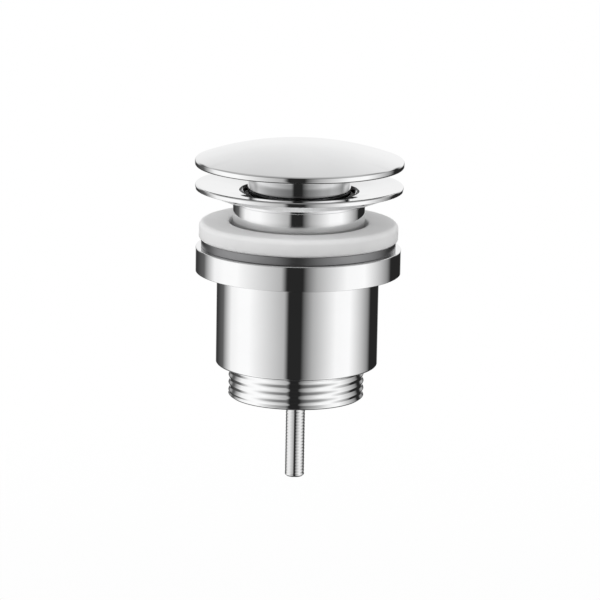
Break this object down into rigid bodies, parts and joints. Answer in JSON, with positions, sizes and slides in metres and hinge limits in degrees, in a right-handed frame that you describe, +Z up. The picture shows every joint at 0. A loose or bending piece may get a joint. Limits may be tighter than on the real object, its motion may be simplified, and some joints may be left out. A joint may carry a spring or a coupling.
{
  "type": "pop up basin waste",
  "caption": "Chrome pop up basin waste: a domed cap that is pressed to close or open the drain, a dished flange with a neck, a soft basin washer, a lower body with a threaded tail and a long tie screw.",
  "frame": {"origin": "on the axis, where the neck meets the cone under the flange: the top edge of the basin's drain hole", "axes": "+Z up along the axis, from the tail towards the cap; the part is round about it, and its spider arms lie between X and Y"},
  "size_m": [0.0642, 0.0642, 0.1055],
  "materials": {
    "chrome_cap": "polished chrome plate on brass",
    "chrome_plug": "polished chrome plate on brass",
    "chrome_flange": "polished chrome plate on brass",
    "chrome_body": "polished chrome plate on brass",
    "brass": "plain turned brass",
    "steel": "stainless steel",
    "spring_steel": "drawn stainless spring wire",
    "black_rubber": "smooth black rubber",
    "dark_nickel": "smooth dark nickel plate",
    "milky_seal": "milky translucent soft polymer",
    "white_acetal": "moulded white acetal",
    "grey_acetal": "moulded grey acetal",
    "orange_acetal": "moulded orange acetal",
    "fibre": "pressed red fibre"
  },
  "bodies": {
    "cup": {"waste_flange": "chrome_flange", "cartridge_barrel": "grey_acetal", "cartridge_collar": "brass", "stem_o_ring": "black_rubber", "ratchet_sleeve": "white_acetal", "return_spring": "spring_steel", "barrel_washer": "fibre", "tie_washer": "steel"},
    "plug": {"cap_dome": "chrome_cap", "cap_washer": "fibre", "plug_skirt": "chrome_plug", "plug_seal": "black_rubber", "plunger": "white_acetal", "cap_lock_nut": "brass", "thrust_washer": "steel"},
    "rotor": {"ratchet_rotor": "orange_acetal"},
    "tail": {"lower_body": "chrome_body", "basin_washer": "milky_seal", "backing_ring": "dark_nickel"},
    "tie": {"tie_screw": "steel"}
  },
  "joints": [
    {"name": "plug_press", "type": "slide", "parent": "cup", "child": "plug", "axis": [0, 0, 1], "range_m": [-0.0054, 0], "stiffness_N_per_m": 400, "springref_m": 0.012, "deforming": ["return_spring"]},
    {"name": "rotor_index", "type": "hinge", "parent": "plug", "child": "rotor", "pos_m": [0, 0, -0.01], "axis": [0, 0, 1], "range_deg": [-47, 0]},
    {"name": "clamp_slide", "type": "slide", "parent": "cup", "child": "tail", "axis": [0, 0, 1], "range_m": [-0.02, 0.005]},
    {"name": "screw_turn", "type": "hinge", "parent": "cup", "child": "tie", "pos_m": [0, 0, -0.03], "axis": [0, 0, 1], "range_deg": [-1801, 7201]}
  ],
  "couplings": [
    {"joint": "rotor_index", "follows": "plug_press", "rad_per_m": 145.4},
    {"joint": "screw_turn", "follows": "clamp_slide", "rad_per_m": -6283.2}
  ]
}
